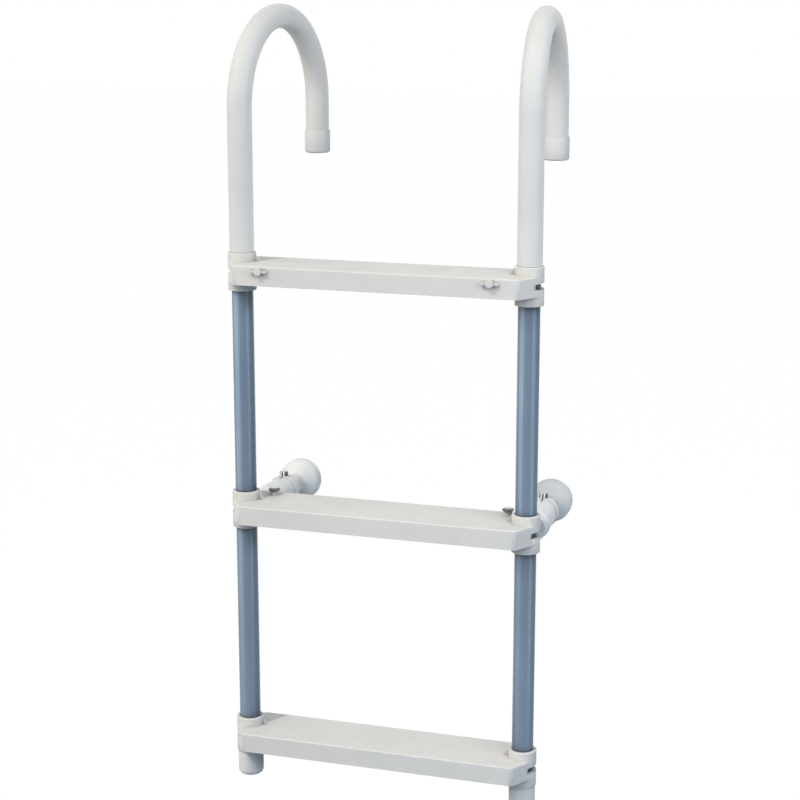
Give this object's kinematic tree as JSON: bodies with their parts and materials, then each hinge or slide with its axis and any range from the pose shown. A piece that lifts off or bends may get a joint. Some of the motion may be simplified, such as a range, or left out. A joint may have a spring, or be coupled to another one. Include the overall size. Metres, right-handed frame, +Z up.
{
  "type": "boat boarding ladder",
  "caption": "Portable boat ladder with tube rails, moulded steps, sleeved swivel hooks for the gunwale and stand-offs that hold it off the hull.",
  "frame": {"origin": "midway between the hooks, on the line along which their inner crowns rest on the gunwale", "axes": "+X along the steps to the right-hand rail, +Y inboard over the gunwale, +Z up along the rails"},
  "size_m": [0.3306, 0.2307, 0.8105],
  "materials": {
    "step_plastic": "moulded, faint grain",
    "rail_aluminium": "clear anodised, satin",
    "sleeve_vinyl": "smooth vinyl",
    "cap_plastic": "moulded",
    "bracket_plastic": "moulded",
    "pad_plastic": "soft white rubber",
    "knob_plastic": "moulded",
    "pivot_plastic": "moulded",
    "pin_steel": "stainless",
    "bolt_steel": "stainless"
  },
  "bodies": {
    "ladder": {"step_top": "step_plastic", "step_middle": "step_plastic", "step_bottom": "step_plastic", "rail_left": "rail_aluminium", "foot_cap_left": "cap_plastic", "hook_lock_knob_left": "knob_plastic", "standoff_pin_left": "pin_steel", "standoff_bracket_left": "bracket_plastic", "clamp_bolt_left": "bolt_steel", "rail_right": "rail_aluminium", "foot_cap_right": "cap_plastic", "hook_lock_knob_right": "knob_plastic", "standoff_pin_right": "pin_steel", "standoff_bracket_right": "bracket_plastic", "clamp_bolt_right": "bolt_steel"},
    "hook_left": {"hook_pivot_left": "pivot_plastic", "hook_tube_left": "rail_aluminium", "hook_sleeve_left": "sleeve_vinyl", "hook_cap_left": "cap_plastic"},
    "hull_pad_arm_left": {"standoff_shank_left": "bracket_plastic", "hull_pad_left": "pad_plastic"},
    "hook_right": {"hook_pivot_right": "pivot_plastic", "hook_tube_right": "rail_aluminium", "hook_sleeve_right": "sleeve_vinyl", "hook_cap_right": "cap_plastic"},
    "hull_pad_arm_right": {"standoff_shank_right": "bracket_plastic", "hull_pad_right": "pad_plastic"}
  },
  "joints": [
    {"name": "hook_swivel_left", "type": "hinge", "parent": "ladder", "child": "hook_left", "pos_m": [-0.15, -0.08959, -0.2285], "axis": [0, 0, 1], "range_deg": [-34.5, 95.5]},
    {"name": "standoff_slide_left", "type": "slide", "parent": "ladder", "child": "hull_pad_arm_left", "axis": [0.0523, 0.9986, 0], "range_m": [0, 0.04]},
    {"name": "hook_swivel_right", "type": "hinge", "parent": "ladder", "child": "hook_right", "pos_m": [0.15, -0.08959, -0.2285], "axis": [0, 0, 1], "range_deg": [-95.5, 34.5]},
    {"name": "standoff_slide_right", "type": "slide", "parent": "ladder", "child": "hull_pad_arm_right", "axis": [-0.0523, 0.9986, 0], "range_m": [0, 0.04]}
  ]
}
